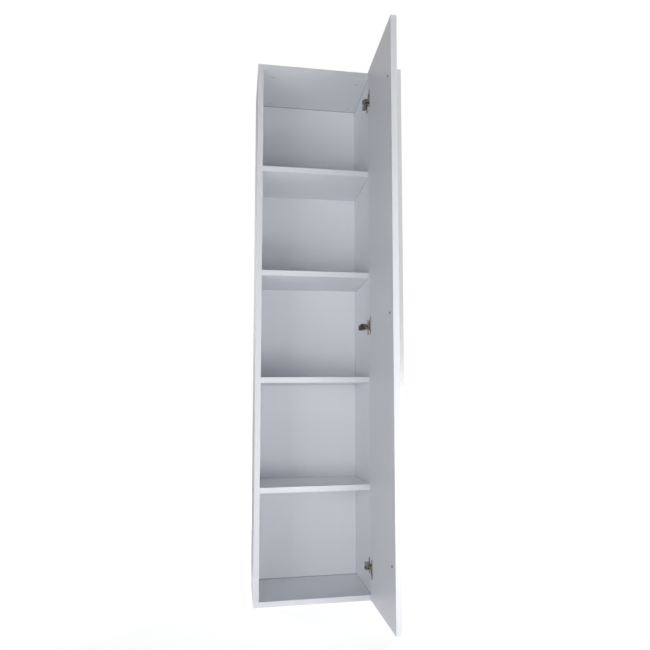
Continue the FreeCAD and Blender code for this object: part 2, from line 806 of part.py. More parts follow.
def hinge_arm(label, height):
    """A channel over the plate's spine whose cheeks run forward into the cup as a nose."""
    body = new_body(label)
    nose_front = "(plate_from_front + arm_pivot_reach + link_eye / 2)"
    nose_low = "(arm_pivot_inset - link_eye / 2)"
    nose_high = "(arm_pivot_inset + link_eye / 2)"
    lip = "(plate_from_front + door_gap - flange_thickness - arm_nose_play)"
    profile = new_sketch(body, "profile", "XZ_Plane")
    outline(
        profile,
        [
            ("plate_from_front - arm_back", "arm_foot"),
            ("plate_from_front - arm_back", "arm_rise"),
            ("plate_from_front - arm_shoulder", "arm_rise"),
            ("plate_from_front - arm_far_pivot_back - (arm_nose_rise - arm_far_pivot_inset)", "arm_nose_rise"),
            (lip, "arm_nose_rise"),
            (lip, nose_high),
            (nose_front, nose_high),
            (nose_front, nose_low),
            ("plate_from_front", nose_low),
            ("plate_from_front - spine_front + 4", "arm_foot"),
        ],
    )
    pad(body, profile, "arm_height", both_ways=True)
    channel = new_sketch(body, "channel", "XZ_Plane")
    outline(
        channel,
        [
            ("plate_from_front - arm_back - 1", "0"),
            ("plate_from_front - arm_back - 1", "arm_rise - arm_sheet"),
            ("plate_from_front - arm_shoulder + arm_sheet / 2", "arm_rise - arm_sheet"),
            (
                "plate_from_front - arm_far_pivot_back - (arm_nose_rise - arm_far_pivot_inset) + arm_sheet / 2",
                "arm_nose_rise - arm_sheet",
            ),
            (f"{lip} - arm_sheet", "arm_nose_rise - arm_sheet"),
            (f"{lip} - arm_sheet", "arm_nose_rise + 1"),
            (f"{nose_front} + 1", "arm_nose_rise + 1"),
            (f"{nose_front} + 1", "0"),
        ],
    )
    pocket(body, channel, "arm_height - 2 * arm_sheet", both_ways=True)
    pins = new_sketch(body, "pin_holes", "XZ_Plane")
    circles(
        pins,
        [
            ("plate_from_front + arm_pivot_reach", "arm_pivot_inset"),
            ("plate_from_front - arm_far_pivot_back", "arm_far_pivot_inset"),
        ],
        "pin_diameter",
    )
    pocket(body, pins, "arm_height", both_ways=True)
    holes = new_sketch(body, "screw_holes", lift="arm_rise")
    circles(holes, ARM_SCREWS, "arm_screw_diameter")
    pocket(body, holes, "arm_sheet")
    return keep(body, on_plate(height))


def outer_link(label, height):
    """Two cranked cheeks joined by a tube round each pin; local x runs from the arm pin to the cup pin."""
    body = new_body(label)
    length = f"{LINK_LENGTH:.6f}"
    ends = [("0", "0"), (length, "0")]
    tubes = new_sketch(body, "tubes")
    circles(tubes, ends, "link_eye")
    pad(body, tubes, "link_height", both_ways=True)
    for name, lift in (("upper_cheek", "link_height / 2 - link_cheek"), ("lower_cheek", "-link_height / 2")):
        cheek = new_sketch(body, name, lift=lift)
        outline(
            cheek,
            [
                ("0", "link_waist / 2"),
                ("0", "-link_waist / 2"),
                (f"{length} - link_crank_reach", "-link_crank - link_waist / 2"),
                (f"{length} + link_waist / 2", "-link_crank - link_waist / 2"),
                (f"{length} + link_waist / 2", "0"),
                (f"{length} - link_waist / 2", "0"),
                (f"{length} - link_waist / 2", "-link_crank + link_waist / 2"),
                (f"{length} - link_crank_reach", "-link_crank + link_waist / 2"),
            ],
        )
        pad(body, cheek, "link_cheek")
    bores = new_sketch(body, "bores")
    circles(bores, ends, "pin_diameter + 2 * pin_play")
    pocket(body, bores, "link_height + 1", both_ways=True)
    place = Placement(ARM_PIVOT + Vector(0, 0, value(height)), turn(LINK_ANGLE))
    return keep(body, place)


# The inner link is pinned in the arm and cranked to pass the side panel's edge.  Its other end runs
# free in the cup, short of the cup's second pin.
ARM_FAR_PIVOT = Vector(
    RIGHT_FACE - value("arm_far_pivot_inset"), FRONT + value("arm_far_pivot_back"), 0
)
CLOSED_CUP_FAR_PIVOT = CLOSED_CORNER - Vector(
    value("cup_far_pivot_edge"), value("cup_far_pivot_depth"), 0
)
CUP_FAR_PIVOT = CUP_PIVOT + turn(OPEN).multVec(CLOSED_CUP_FAR_PIVOT - CLOSED_CUP_PIVOT)
CLOSED_INNER_LINK = CLOSED_CUP_FAR_PIVOT - ARM_FAR_PIVOT
INNER_LINK_ANGLE = (
    math.degrees(math.atan2(CLOSED_INNER_LINK.y, CLOSED_INNER_LINK.x)) - value("inner_link_turn") * OPEN
)
INNER_LINK_LENGTH = CLOSED_INNER_LINK.Length
INNER_LINK_RISE = math.atan2(value("inner_link_crank"), INNER_LINK_LENGTH - value("inner_link_bend"))


def inner_link(label, height):
    """A cranked bar with an eye at the arm pin; local x points to the cup's second pin."""
    body = new_body(label)
    eye = new_sketch(body, "eye")
    circles(eye, [("0", "0")], "link_eye")
    pad(body, eye, "inner_link_height", both_ways=True)
    bar = new_sketch(body, "bar")
    end_x = f"({INNER_LINK_LENGTH:.6f} - inner_link_short * {math.cos(INNER_LINK_RISE):.6f})"
    end_y = f"(-inner_link_short * {math.sin(INNER_LINK_RISE):.6f})"
    outline(
        bar,
        [
            ("0", "-link_eye / 2"),
            ("inner_link_bend", "-inner_link_crank - inner_link_waist / 2"),
            (end_x, f"{end_y} - inner_link_waist / 2"),
            (end_x, f"{end_y} + inner_link_waist / 2"),
            ("inner_link_bend", "-inner_link_crank + inner_link_waist / 2"),
            ("0", "link_eye / 2"),
        ],
    )
    pad(body, bar, "inner_link_height", both_ways=True)
    bore = new_sketch(body, "bore")
    circles(bore, [("0", "0")], "pin_diameter + 2 * pin_play")
    pocket(body, bore, "inner_link_height + 1", both_ways=True)
    place = Placement(ARM_FAR_PIVOT + Vector(0, 0, value(height)), turn(INNER_LINK_ANGLE))
    return keep(body, place)


for name, hinge_height in zip(HINGES, HINGE_HEIGHTS):
    mounting_plate(f"mounting_plate_{name}", hinge_height)
    hinge_arm(f"hinge_arm_{name}", hinge_height)
    outer_link(f"outer_link_{name}", hinge_height)
    inner_link(f"inner_link_{name}", hinge_height)
    hinge_cup(f"hinge_cup_{name}", hinge_height)

plate_screw = screw(
    "plate_screw",
    "plate_screw_diameter",
    "plate_screw_head",
    "plate_screw_head_height",
    "plate_screw_length",
)
group(
    "plate_screws",
    copies(
        plate_screw,
        [
            on_plate(height, y=side * value("plate_screw_spacing / 2"), z=value("plate_thickness"))
            for height in HINGE_HEIGHTS
            for side in (-1, 1)
        ],
    ),
)

arm_screw = screw(
    "arm_screw",
    "arm_screw_diameter",
    "arm_screw_head",
    "arm_screw_head_height",
    "arm_rise - arm_foot",
)
group(
    "arm_screws",
    copies(
        arm_screw,
        [
            on_plate(height, x=value(x), z=value("arm_rise"))
            for height in HINGE_HEIGHTS
            for x, _ in ARM_SCREWS
        ],
    ),
)

cup_screw = screw(
    "cup_screw",
    "cup_screw_diameter",
    "cup_screw_head",
    "cup_screw_head_height",
    "cup_screw_length",
)
group(
    "cup_screws",
    copies(
        cup_screw,
        [on_door(value(x), -value("flange_thickness"), value(z), OUT_OF_FACE) for x, z in CUP_SCREWS],
    ),
)


def pin(name, length):
    """A plain pin, centred on its own middle and standing along local z."""
    body = new_body(name)
    turned(
        body,
        "profile",
        [
            ("0", f"-({length}) / 2"),
            ("pin_diameter / 2", f"-({length}) / 2"),
            ("pin_diameter / 2", f"({length}) / 2"),
            ("0", f"({length}) / 2"),
        ],
    )
    return body


def chord(edge):
    """Length of a pin across the cup at a distance from the door's edge, ending in the wall."""
    radius = value("cup_diameter / 2 - pin_play")
    outer_side = value(f"{CUP_CENTRE} - {edge} + pin_diameter / 2")
    return f"{2 * math.sqrt(radius**2 - outer_side**2):.6f}"


arm_pin = pin("arm_pin", "arm_height")
group(
    "arm_pins",
    copies(
        arm_pin,
        [
            Placement(pivot + Vector(0, 0, value(height)), Rotation())
            for height in HINGE_HEIGHTS
            for pivot in (ARM_PIVOT, ARM_FAR_PIVOT)
        ],
    ),
)
for pin_label, pivot_edge, pivot in (
    ("outer_link_cup_pin", "cup_pivot_edge", CUP_PIVOT),
    ("inner_link_cup_pin", "cup_far_pivot_edge", CUP_FAR_PIVOT),
):
    cup_pin = pin(pin_label, chord(pivot_edge))
    places = [Placement(pivot + Vector(0, 0, value(height)), Rotation()) for height in HINGE_HEIGHTS]
    group(f"{pin_label}s", copies(cup_pin, places))

# ---------------------------------------------------------------- soft-close damper

# A sprung steel clip hugs the arm's cheeks behind its shoulder, with a wall under the damper.  The
# black damper sits on the clip, hollowed for the heads of the arm's screws, and straddles the nose.
MIDDLE = HINGE_HEIGHTS[1]
CLIP_HALF = "(arm_height / 2 + damper_clip_thickness)"
DAMPER_HALF = "damper_height / 2"
DAMPER_SCREWS = [("arm_back - arm_screw_front", "0"), ("arm_back - arm_screw_back", "0")]

clip = new_body("damper_clip")
clip_section = new_sketch(clip, "section", "YZ_Plane")
outline(
    clip_section,
    [
        (f"-{CLIP_HALF}", "-damper_clip_grip"),
        ("-arm_height / 2", "-damper_clip_grip"),
        ("-arm_height / 2", "0"),
        ("arm_height / 2", "0"),
        ("arm_height / 2", "-damper_clip_grip"),
        (CLIP_HALF, "-damper_clip_grip"),
        (CLIP_HALF, "damper_clip_thickness"),
        (f"-{DAMPER_HALF}", "damper_clip_thickness"),
        (f"-{DAMPER_HALF}", "damper_clip_wall"),
        (f"-{DAMPER_HALF} - damper_clip_thickness", "damper_clip_wall"),
        (f"-{DAMPER_HALF} - damper_clip_thickness", "0"),
        (f"-{CLIP_HALF}", "0"),
    ],
)
pad(clip, clip_section, "damper_clip_length")
clip_holes = new_sketch(clip, "screw_holes", lift="damper_clip_thickness")
circles(clip_holes, DAMPER_SCREWS, "arm_screw_head + 2 * damper_screw_play")
pocket(clip, clip_holes, "damper_clip_thickness")
keep(clip, on_plate(MIDDLE, x=value("plate_from_front - arm_back"), z=value("arm_rise")))

damper = new_body("soft_close_damper")
block = new_sketch(damper, "block")
rectangle(block, "0", f"-{DAMPER_HALF}", "damper_length", DAMPER_HALF)
rounded(damper, pad(damper, block, "damper_thickness"), "damper_round")
straddle = new_sketch(damper, "straddle", "XZ_Plane")
SHOULDER_BACK = "arm_back - arm_shoulder - damper_nose_play"
NOSE_BACK = "arm_back - arm_far_pivot_back - (arm_nose_rise - arm_far_pivot_inset) - damper_nose_play"
NOSE_TOP = "arm_nose_rise - arm_rise - damper_clip_thickness + damper_nose_play"
outline(
    straddle,
    [
        (SHOULDER_BACK, "-damper_clip_thickness"),
        (NOSE_BACK, NOSE_TOP),
        ("damper_length + 1", NOSE_TOP),
        ("damper_length + 1", "-damper_clip_thickness"),
    ],
)
pocket(damper, straddle, "arm_height + 2 * damper_nose_play", both_ways=True)
damper_holes = new_sketch(damper, "screw_recesses")
circles(damper_holes, DAMPER_SCREWS, "arm_screw_head + 2 * damper_screw_play")
pocket(damper, damper_holes, "arm_screw_head_height", reverse=True)
plunger = new_sketch(damper, "plunger", "YZ_Plane", lift="damper_length")
circles(plunger, [("0", "damper_thickness - damper_plunger_inset")], "damper_plunger")
pad(damper, plunger, "damper_plunger_reach")
keep(
    damper,
    on_plate(
        MIDDLE,
        x=value("plate_from_front - arm_back"),
        z=value("arm_rise + damper_clip_thickness"),
    ),
)

doc.recompute()

# ---------------------------------------------------------------- checks and files

for item in doc.Objects:
    if "Invalid" in item.State or "Error" in item.State:
        raise RuntimeError(f"{item.Name} is {item.State}")

os.makedirs("parts", exist_ok=True)
for node in NODES:
    if node.Shape.isNull() or not node.Shape.isValid():
        raise RuntimeError(f"{node.Label} has no valid shape")
    node.Shape.exportStep(f"parts/{node.Label}.step")
    print(f"{node.Label}: {len(node.Shape.Solids)} solids, {node.Shape.Volume / 1000:.2f} cm3")
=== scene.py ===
import logging
import math
from dataclasses import dataclass
from enum import Enum

import bpy
import numpy as np
from mathutils import Matrix, Vector


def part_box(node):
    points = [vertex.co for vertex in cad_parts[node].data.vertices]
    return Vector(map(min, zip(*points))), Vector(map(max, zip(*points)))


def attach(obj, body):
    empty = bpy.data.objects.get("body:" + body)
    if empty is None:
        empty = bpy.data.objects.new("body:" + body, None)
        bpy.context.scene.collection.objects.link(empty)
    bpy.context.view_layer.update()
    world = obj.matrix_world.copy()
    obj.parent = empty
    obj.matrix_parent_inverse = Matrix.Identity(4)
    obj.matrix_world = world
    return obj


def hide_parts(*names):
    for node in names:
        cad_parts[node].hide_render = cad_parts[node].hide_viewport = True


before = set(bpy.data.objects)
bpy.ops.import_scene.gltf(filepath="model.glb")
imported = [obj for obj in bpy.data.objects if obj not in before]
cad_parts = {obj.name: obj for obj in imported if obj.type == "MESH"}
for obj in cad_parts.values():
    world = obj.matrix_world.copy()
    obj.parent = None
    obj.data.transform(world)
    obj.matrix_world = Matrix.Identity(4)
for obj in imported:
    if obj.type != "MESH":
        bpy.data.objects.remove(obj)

LOG = logging.getLogger("cupboard")
MM = 0.001
INSIDE_HALF = 182 * MM


# ---------------------------------------------------------------- shader maths


class Wire:
    """A shader socket that takes part in Python sums; each operator adds one Math node."""

    def __init__(self, graph: "Graph", socket: bpy.types.NodeSocket) -> None:
        """Keeps the socket and the graph it belongs to."""
        self.graph = graph
        self.socket = socket

    def _math(self, operation: str, first: "Wire | float", second: "Wire | float") -> "Wire":
        """One Math node.

        Args:
            operation: the Math node's operation.
            first: its first value or link.
            second: its second value or link.

        Returns:
            The node's output.
        """
        return self.graph.add("ShaderNodeMath", {"operation": operation}, {0: first, 1: second})

    def __add__(self, other: "Wire | float") -> "Wire":
        """Sum."""
        return self._math("ADD", self, other)

    def __radd__(self, other: float) -> "Wire":
        """Sum with the number on the left."""
        return self._math("ADD", other, self)

    def __sub__(self, other: "Wire | float") -> "Wire":
        """Difference."""
        return self._math("SUBTRACT", self, other)

    def __rsub__(self, other: float) -> "Wire":
        """Difference with the number on the left."""
        return self._math("SUBTRACT", other, self)

    def __mul__(self, other: "Wire | float") -> "Wire":
        """Product."""
        return self._math("MULTIPLY", self, other)

    def __rmul__(self, other: float) -> "Wire":
        """Product with the number on the left."""
        return self._math("MULTIPLY", other, self)


class Graph:
    """A node tree that is filled one node at a time."""

    def __init__(self, tree: bpy.types.NodeTree) -> None:
        """Takes over a tree and empties it."""
        self.tree = tree
        tree.nodes.clear()

    def add(
        self,
        kind: str,
        settings: dict | None = None,
        sockets: dict | None = None,
        output: int | str = 0,
    ) -> Wire:
        """Adds a node: its settings first, then its sockets.

        Args:
            kind: the node's type.
            settings: attributes such as a Math node's operation.
            sockets: a value or a Wire for each input, by name or number.
            output: the output that is handed back.

        Returns:
            The chosen output.
        """
        node = self.tree.nodes.new(kind)
        for key, setting in (settings or {}).items():
            setattr(node, key, setting)
        for key, given in (sockets or {}).items():
            if isinstance(given, Wire):
                self.tree.links.new(given.socket, node.inputs[key])
            else:
                node.inputs[key].default_value = given
        return Wire(self, node.outputs[output]) if len(node.outputs) else Wire(self, None)

    def place(self) -> Wire:
        """Where a point is on the cupboard, in metres."""
        return self.add("ShaderNodeTexCoord", output="Object")

    def stretched(self, scale: tuple[float, float, float]) -> Wire:
        """The place, scaled along each axis.

        Args:
            scale: how often a pattern repeats in a metre along x, y and z.

        Returns:
            The scaled place.
        """
        return self.add("ShaderNodeMapping", sockets={"Vector": self.place(), "Scale": scale})

    def noise(self, at: Wire, scale: float, detail: float = 3.0, roughness: float = 0.5) -> Wire:
        """Cloudy noise from 0 to 1.

        Args:
            at: where it is read.
            scale: clouds in one unit.
            detail: octaves.
            roughness: how strong the finer octaves are.

        Returns:
            The noise value.
        """
        sockets = {"Vector": at, "Scale": scale, "Detail": detail, "Roughness": roughness}
        return self.add("ShaderNodeTexNoise", {"noise_dimensions": "3D"}, sockets)

    def blend(
        self, amount: Wire, first: "Wire | tuple[float, ...]", second: "Wire | tuple[float, ...]"
    ) -> Wire:
        """A colour between two others.

        Args:
            amount: 0 for the first colour and 1 for the second.
            first: linear RGBA or a link.
            second: linear RGBA or a link.

        Returns:
            The mixed colour.
        """
        sockets = {"Factor": amount, 6: first, 7: second}
        return self.add("ShaderNodeMix", {"data_type": "RGBA", "clamp_factor": True}, sockets, output=2)

    def bump(self, height: Wire, depth: float, strength: float = 1.0) -> Wire:
        """A surface normal from a height.

        Args:
            height: 0 to 1.
            depth: metres for a height of 1.
            strength: share of the effect.

        Returns:
            The normal.
        """
        return self.add("ShaderNodeBump", sockets={"Height": height, "Distance": depth, "Strength": strength})

    def surface(self, **sockets: "Wire | float | tuple[float, ...]") -> None:
        """Ends the tree with a Principled surface; underscores in names stand for spaces."""
        named = {key.replace("_", " "): given for key, given in sockets.items()}
        shader = self.add("ShaderNodeBsdfPrincipled", sockets=named)
        self.add("ShaderNodeOutputMaterial", sockets={"Surface": shader})


def shade(rgb: tuple[float, float, float], factor: float) -> tuple[float, float, float, float]:
    """A linear colour scaled by a factor, with alpha 1."""
    return (rgb[0] * factor, rgb[1] * factor, rgb[2] * factor, 1.0)


# ---------------------------------------------------------------- finishes


def joint_shade_line(graph: Graph, distance: Wire, width: float) -> Wire:
    """The share of painted shade beside a joint: one beside it, zero further away than its width.

    Args:
        graph: the material's tree.
        distance: how far a point is from the joint.
        width: how far the painted shade reaches.

    Returns:
        The share of the painted shade beside the joint.
    """
    return graph.add(
        "ShaderNodeMapRange",
        {"interpolation_type": "SMOOTHSTEP"},
        {"Value": distance, "From Min": width, "From Max": width * 0.3},
    )


@dataclass(frozen=True)
class Finish:
    """A named surface finish whose material is made the first time it is asked for."""

    name: str
    colour: tuple[float, float, float]
    roughness: float

    def build(self, graph: Graph) -> None:
        """Fills the material's node tree."""
        raise NotImplementedError

    def material(self) -> bpy.types.Material:
        """The finish as a material."""
        known = bpy.data.materials.get(self.name)
        if known:
            return known
        made = bpy.data.materials.new(self.name)
        made.use_nodes = True
        self.build(Graph(made.node_tree))
        return made


@dataclass(frozen=True)
class Melamine(Finish):
    """Board facing or edge band: a hard white film with a fine pearl texture."""

    drift: float = 0.012
    pearl: float = 0.00003
    # These four fields paint shade into the colour where a level board meets the sides: where those joints
    # lie across x, how far the shade reaches, its share and its darkness.
    between: float = 0.0
    joint: float = 2.6 * MM
    joint_shade_share: float = 0.6
    joint_shade_tone: float = 0.4

    def build(self, graph: Graph) -> None:
        """Even white with a slow drift of tone, soft smears in the gloss and a pearl texture; on level
        boards, painted shade beside the joints with the sides.
        """
        at = graph.place()
        drift = graph.noise(at, 3.0, 2.0)
        smears = graph.noise(graph.stretched((1.0, 1.0, 0.4)), 14.0, 4.0, 0.6)
        pearl = graph.noise(at, 900.0, 2.0)
        colour = graph.blend(drift, shade(self.colour, 1 - self.drift), shade(self.colour, 1 + self.drift))
        # Painted shade: darker beside the joints with the sides.
        if self.between:
            across = graph.add("ShaderNodeSeparateXYZ", sockets={0: at}, output="X")
            outward = graph.add("ShaderNodeMath", {"operation": "ABSOLUTE"}, {0: across})
            line = joint_shade_line(graph, self.between - outward, self.joint)
            colour = graph.blend(line * self.joint_shade_share, colour, shade(self.colour, self.joint_shade_tone))
        graph.surface(
            Base_Color=colour,
            Roughness=self.roughness + (smears - 0.5) * 0.12,
            IOR=1.5,
            Normal=graph.bump(pearl, self.pearl),
        )


@dataclass(frozen=True)
class LacqueredBack(Finish):
    """Thin hardboard with a sprayed white face that shows a faint orange peel."""

    # These six fields paint shade into the colour where the back enters its grooves: how far the shade
    # reaches, where the top, the bottom and the sides stand, the share at the sides and its darkness.
    joint: float = 3.5 * MM
    under_top: float = 1782 * MM
    over_bottom: float = 18 * MM
    beside: float = INSIDE_HALF
    side_shade_share: float = 0.4
    joint_shade_tone: float = 0.45

    def build(self, graph: Graph) -> None:
        """A matter white than the boards, with painted shade in the joints where it enters its grooves."""
        at = graph.place()
        bands = graph.noise(graph.stretched((1.0, 1.0, 0.02)), 60.0, 2.0)
        peel = graph.noise(at, 420.0, 1.0)
        height = graph.add("ShaderNodeSeparateXYZ", sockets={0: at}, output="Z")
        across = graph.add("ShaderNodeSeparateXYZ", sockets={0: at}, output="X")
        # Painted shade in the joints with the top, the bottom and the sides.
        top = joint_shade_line(graph, self.under_top - height, self.joint)
        bottom = joint_shade_line(graph, height - self.over_bottom, self.joint)
        side = joint_shade_line(graph, self.beside - across, self.joint)
        white = graph.blend(bands, shade(self.colour, 0.985), shade(self.colour, 1.01))
        graph.surface(
            Base_Color=graph.blend(
                top + bottom + side * self.side_shade_share, white, shade(self.colour, self.joint_shade_tone)
            ),
            Roughness=self.roughness + (bands - 0.5) * 0.1,
            Normal=graph.bump(peel, 0.00005),
        )


@dataclass(frozen=True)
class BrushedMetal(Finish):
    """Metal brushed along the upright, then anodised or plated."""

    lines: float = 0.25
    patina: float = 0.06

    def build(self, graph: Graph) -> None:
        """Fine upright lines in tone, gloss and relief over a slow patina."""
        lines = graph.noise(graph.stretched((1.0, 1.0, 0.01)), 2600.0, 3.0, 0.6)
        patina = graph.noise(graph.place(), 45.0, 3.0)
        tone = (lines - 0.5) * self.lines + (patina - 0.5) * 2 * self.patina
        graph.surface(
            Base_Color=graph.blend(tone + 0.5, shade(self.colour, 0.86), shade(self.colour, 1.12)),
            Metallic=1.0,
            Roughness=self.roughness + (lines - 0.5) * 0.12 + (patina - 0.5) * 0.08,
            Normal=graph.bump(lines, 0.000004),
        )


@dataclass(frozen=True)
class PressedNickel(Finish):
    """Nickel plate on pressed steel: semi-bright, with soft handling marks."""

    def build(self, graph: Graph) -> None:
        """Warm grey metal with cloudy gloss and a faint grain from the press."""
        at = graph.place()
        clouds = graph.noise(at, 160.0, 4.0, 0.6)
        grain = graph.noise(at, 2400.0, 2.0)
        graph.surface(
            Base_Color=graph.blend(clouds, shade(self.colour, 0.82), shade(self.colour, 1.12)),
            Metallic=1.0,
            Roughness=self.roughness + (clouds - 0.5) * 0.2,
            Normal=graph.bump(grain, 0.000005),
        )


@dataclass(frozen=True)
class CastZinc(Finish):
    """Zinc as cast: dull, with a sandy skin."""

    def build(self, graph: Graph) -> None:
        """Dull grey metal with a sandy relief."""
        sand = graph.noise(graph.place(), 1500.0, 3.0, 0.7)
        graph.surface(
            Base_Color=graph.blend(sand, shade(self.colour, 0.8), shade(self.colour, 1.1)),
            Metallic=1.0,
            Roughness=self.roughness + (sand - 0.5) * 0.25,
            Normal=graph.bump(sand, 0.00002),
        )


@dataclass(frozen=True)
class MouldedPlastic(Finish):
    """Moulded plastic with a fine spark-eroded skin."""

    grain: float = 0.00002

    def build(self, graph: Graph) -> None:
        """Even colour, satin gloss and an eroded grain."""
        at = graph.place()
        grain = graph.noise(at, 1800.0, 2.0, 0.6)
        rub = graph.noise(at, 90.0, 3.0)
        graph.surface(
            Base_Color=graph.blend(rub, shade(self.colour, 0.92), shade(self.colour, 1.1)),
            Roughness=self.roughness + (rub - 0.5) * 0.15,
            Normal=graph.bump(grain, self.grain),
        )


@dataclass(frozen=True)
class Chipboard(Finish):
    """The raw core of a board where it is sawn or grooved: pressed chips of mixed tone."""

    def build(self, graph: Graph) -> None:
        """Light and dark chips with a coarse sawn relief."""
        chips = graph.noise(graph.place(), 700.0, 4.0, 0.7)
        graph.surface(
            Base_Color=graph.blend(chips, shade(self.colour, 0.6), shade(self.colour, 1.2)),
            Roughness=self.roughness,
            Normal=graph.bump(chips, 0.0001),
        )


@dataclass(frozen=True)
class Beech(Finish):
    """Straight-grained beech with short dark flecks."""

    def build(self, graph: Graph) -> None:
        """Grain along x, where the dowels lie, with flecks."""
        grain = graph.noise(graph.stretched((0.05, 1.0, 1.0)), 900.0, 4.0, 0.6)
        flecks = graph.noise(graph.stretched((0.25, 1.0, 1.0)), 1600.0, 1.0)
        tone = grain + (flecks - 0.5) * 0.5
        graph.surface(
            Base_Color=graph.blend(tone, shade(self.colour, 0.72), shade(self.colour, 1.12)),
            Roughness=self.roughness,
            Normal=graph.bump(grain, 0.00006),
        )


BOARD_FACE = Melamine("white_melamine_face", (0.855, 0.876, 0.914), 0.42)
# Level boards: the same white with painted shade beside their joints with the sides.
LEVEL_FACE = Melamine("white_melamine_level_face", (0.855, 0.876, 0.914), 0.42, between=INSIDE_HALF)
# A darker, bluer copy of the board white, which paints shade onto the door.
SHADED_DOOR_FACE = Melamine("white_melamine_door_face_shaded", (0.795, 0.80, 0.855), 0.42)
BOARD_EDGE = Melamine("white_edge_band", (0.84, 0.865, 0.905), 0.36, drift=0.006, pearl=0.00001)
BOARD_CORE = Chipboard("raw_chipboard_core", (0.34, 0.27, 0.2), 0.85)
BACK_FACE = LacqueredBack("white_lacquered_back", (0.855, 0.876, 0.914), 0.5)
HANDLE_METAL = BrushedMetal("satin_anodised_aluminium", (0.60, 0.615, 0.62), 0.24)
# Much darker than the plain nickel of the screws: painted dark reflection of the surround on the hinges.
HINGE_METAL = PressedNickel("nickel_plated_steel", (0.26, 0.23, 0.2), 0.26)
# A dark copy of the screw metal: painted shade for the shaded rims of the handle's screw heads.
SHADED_HANDLE_SCREW_METAL = PressedNickel("shaded_dark_screw", (0.2, 0.19, 0.19), 0.38)
SCREW_METAL = PressedNickel("zinc_plated_screw", (0.56, 0.54, 0.52), 0.34)
CAM_METAL = CastZinc("cast_zinc", (0.60, 0.60, 0.61), 0.48)
CAP_PLASTIC = MouldedPlastic("white_cap_plastic", (0.78, 0.775, 0.75), 0.45)
DAMPER_PLASTIC = MouldedPlastic("black_damper_plastic", (0.01, 0.011, 0.015), 0.6, grain=0.00003)
DOWEL_WOOD = Beech("beech_dowel", (0.72, 0.53, 0.34), 0.6)


# ---------------------------------------------------------------- modelling bench


